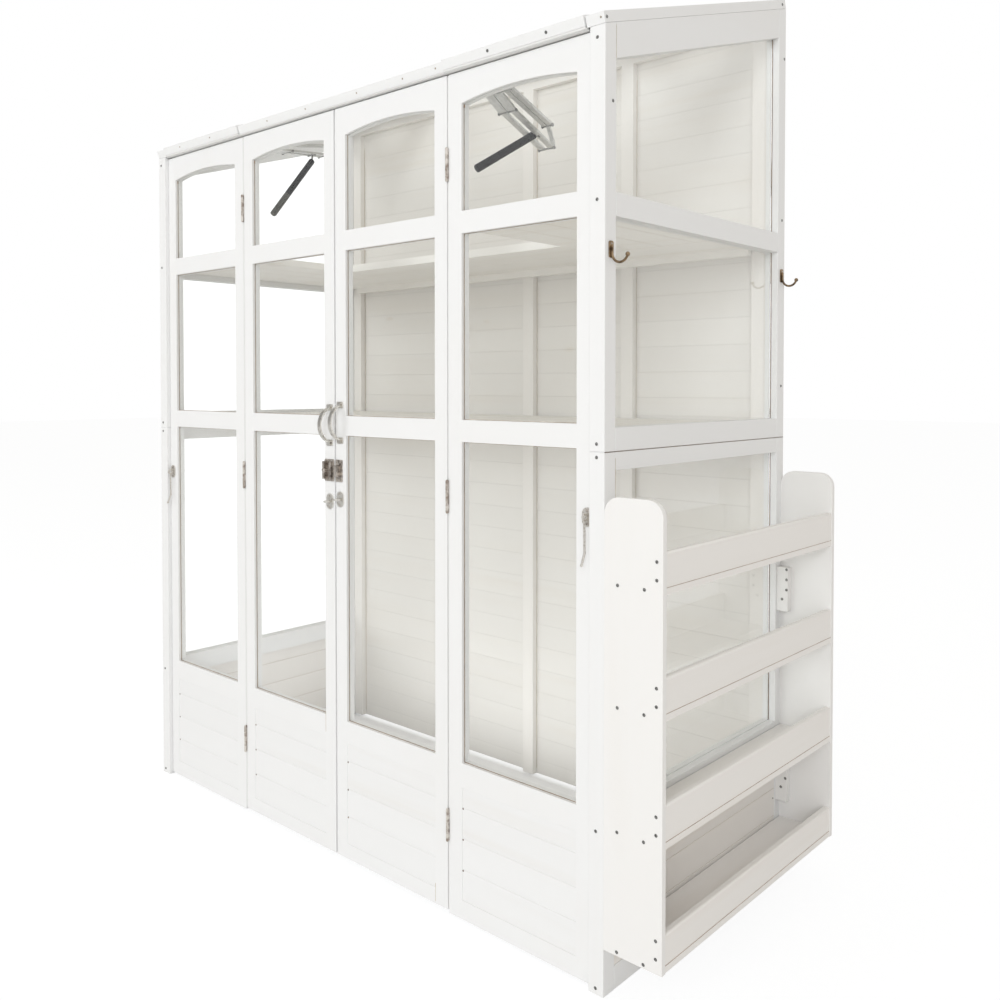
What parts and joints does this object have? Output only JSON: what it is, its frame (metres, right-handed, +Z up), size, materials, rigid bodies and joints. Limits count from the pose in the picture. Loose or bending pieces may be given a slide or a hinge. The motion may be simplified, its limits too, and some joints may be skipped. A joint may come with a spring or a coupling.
{
  "type": "wall greenhouse",
  "caption": "White timber wall greenhouse with a pent roof, two hinged front doors, roof vents, inside shelves and a planter rack on its right side.",
  "frame": {"origin": "middle of the footprint's box, on the ground", "axes": "+Z up; the front with the doors faces -Y; the planter rack is on the +X side"},
  "size_m": [1.723, 0.7535, 2.0564],
  "materials": {
    "painted_timber": "white paint, satin",
    "boards": "white paint, satin",
    "shelf_boards": "white wash",
    "glass": "clear",
    "nickel": "satin nickel",
    "dark_iron": "antique black",
    "bronze": "antique bronze",
    "hinge_steel": "satin",
    "opener": "black cylinder and plain arms"
  },
  "bodies": {
    "greenhouse": {"post_front_left": "painted_timber", "post_front_right": "painted_timber", "post_back_left": "painted_timber", "post_back_right": "painted_timber", "left_wall_frame": "painted_timber", "right_wall_frame": "painted_timber", "panel_left": "painted_timber", "panel_right": "painted_timber", "roof_frame": "painted_timber", "vent_left": "painted_timber", "vent_right": "painted_timber", "rack_sides": "painted_timber", "rack_cleats": "painted_timber", "back_wall_battens": "painted_timber", "side_plinth_boards": "boards", "back_wall_boards": "boards", "panel_boards": "boards", "upper_shelf": "shelf_boards", "middle_shelf": "shelf_boards", "rack_shelf_1": "shelf_boards", "rack_shelf_2": "shelf_boards", "rack_shelf_3": "shelf_boards", "rack_shelf_4": "shelf_boards", "side_glass": "glass", "panel_glass": "glass", "roof_glass": "glass", "vent_glass": "glass", "hinges_fixed": "hinge_steel", "cabin_hooks": "nickel", "coat_hooks": "bronze", "vent_openers": "opener"},
    "left_door": {"door_left": "painted_timber", "door_left_boards": "boards", "door_left_glass": "glass", "hinges_door_left": "hinge_steel", "handle_left": "nickel", "slide_bolt": "dark_iron", "eye_plate_left": "nickel"},
    "right_door": {"door_right": "painted_timber", "door_right_boards": "boards", "door_right_glass": "glass", "hinges_door_right": "hinge_steel", "handle_right": "nickel", "bolt_keeper": "dark_iron", "eye_plate_right": "nickel"}
  },
  "joints": [
    {"name": "left_door_hinge", "type": "hinge", "parent": "greenhouse", "child": "left_door", "pos_m": [-0.445, -0.34625, 0.9], "axis": [0, 0, -1], "range_deg": [0, 170]},
    {"name": "right_door_hinge", "type": "hinge", "parent": "greenhouse", "child": "right_door", "pos_m": [0.318, -0.34625, 0.9], "axis": [0, 0, 1], "range_deg": [0, 170]}
  ]
}
